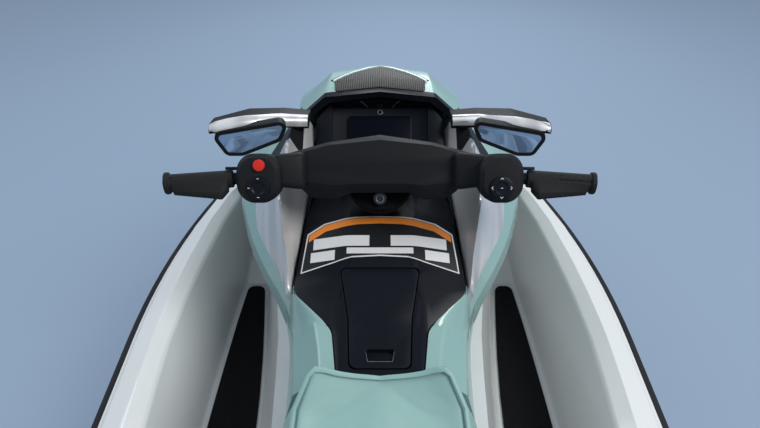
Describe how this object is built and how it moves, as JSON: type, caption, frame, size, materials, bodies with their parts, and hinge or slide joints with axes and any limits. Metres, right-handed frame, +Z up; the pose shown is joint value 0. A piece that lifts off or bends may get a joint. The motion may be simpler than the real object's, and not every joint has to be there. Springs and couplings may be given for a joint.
{
  "type": "personal watercraft",
  "caption": "Sit-down personal watercraft: seat, footwells, steered handlebar, opening hood, console box, jet pump, reverse bucket and folding boarding step.",
  "frame": {"origin": "on the waterline of the empty craft, amidships, on the centreline", "axes": "+Y to the bow, +X to starboard, +Z up"},
  "size_m": [1.276, 3.4209, 1.2063],
  "materials": {
    "hull_gelcoat": "gloss",
    "deck_gelcoat": "gloss metallic",
    "mint_cowl": "gloss",
    "silver_blade": "satin metallic",
    "black_plastic": "satin",
    "hood_inlay": "textured",
    "rail_rubber": "matte",
    "mat_foam": "ribbed",
    "grip_rubber": "matte",
    "seat_vinyl": "soft grained",
    "display": "gloss",
    "mirror_face": "polished",
    "bare_steel": "polished",
    "pump_alloy": "cast",
    "engine_alloy": "cast"
  },
  "bodies": {
    "craft": {"hull": "hull_gelcoat", "deck": "deck_gelcoat", "rub_rail": "rail_rubber", "foot_mat_starboard": "mat_foam", "foot_mat_port": "mat_foam", "boarding_mat": "mat_foam", "engine": "engine_alloy", "seat_front": "seat_vinyl", "seat_rear": "seat_vinyl", "fairing_starboard": "mint_cowl", "fairing_port": "mint_cowl", "knee_blade_starboard": "silver_blade", "knee_blade_port": "silver_blade", "console": "black_plastic", "gauge_housing": "black_plastic", "gauge_screen": "display", "nose_cowl": "mint_cowl", "mirror_starboard": "black_plastic", "mirror_port": "black_plastic", "mirror_glass_starboard": "mirror_face", "mirror_glass_port": "mirror_face", "pump_housing": "pump_alloy", "venturi": "pump_alloy", "ride_plate": "pump_alloy", "intake_grate": "pump_alloy", "sponsons": "black_plastic", "bow_eye": "bare_steel", "tow_eye": "bare_steel", "stern_eyes": "bare_steel", "grab_rail": "bare_steel", "step_brackets": "bare_steel"},
    "bars": {"handlebar": "bare_steel", "steering_column": "bare_steel", "bar_pad": "black_plastic", "grip_starboard": "grip_rubber", "grip_port": "grip_rubber", "switch_pod_starboard": "black_plastic", "switch_pod_port": "black_plastic"},
    "impeller_body": {"impeller": "bare_steel"},
    "nozzle_body": {"steering_nozzle": "pump_alloy"},
    "bucket_body": {"reverse_bucket": "black_plastic"},
    "hood_body": {"hood": "mint_cowl", "hood_panel": "hood_inlay"},
    "lid_body": {"console_lid": "black_plastic"},
    "step_body": {"boarding_step": "bare_steel"}
  },
  "joints": [
    {"name": "steering", "type": "hinge", "parent": "craft", "child": "bars", "pos_m": [0, 0.54, 0.86], "axis": [0, -0.454, 0.891], "range_deg": [-22, 22]},
    {"name": "nozzle_steer", "type": "hinge", "parent": "craft", "child": "nozzle_body", "pos_m": [0, -1.555, -0.11], "axis": [0, 0, 1], "range_deg": [-20, 20]},
    {"name": "impeller_spin", "type": "hinge", "parent": "craft", "child": "impeller_body", "pos_m": [0, -1.26, -0.11], "axis": [0, 1, 0], "continuous": true},
    {"name": "reverse_bucket", "type": "hinge", "parent": "craft", "child": "bucket_body", "pos_m": [0, -1.545, -0.085], "axis": [1, 0, 0], "range_deg": [0, 82]},
    {"name": "hood", "type": "hinge", "parent": "craft", "child": "hood_body", "pos_m": [0, 1.478, 0.58], "axis": [-1, 0, 0], "range_deg": [0, 45]},
    {"name": "glovebox_lid", "type": "hinge", "parent": "craft", "child": "lid_body", "pos_m": [0, 0.418, 0.71], "axis": [-1, 0, 0], "range_deg": [0, 55]},
    {"name": "boarding_step", "type": "hinge", "parent": "craft", "child": "step_body", "pos_m": [0, -1.716, 0.012], "axis": [1, 0, 0], "range_deg": [0, 155], "stiffness_Nm_per_rad": 2, "springref_deg": -34.38}
  ],
  "couplings": [
    {"joint": "nozzle_steer", "follows": "steering", "ratio": -0.9}
  ]
}
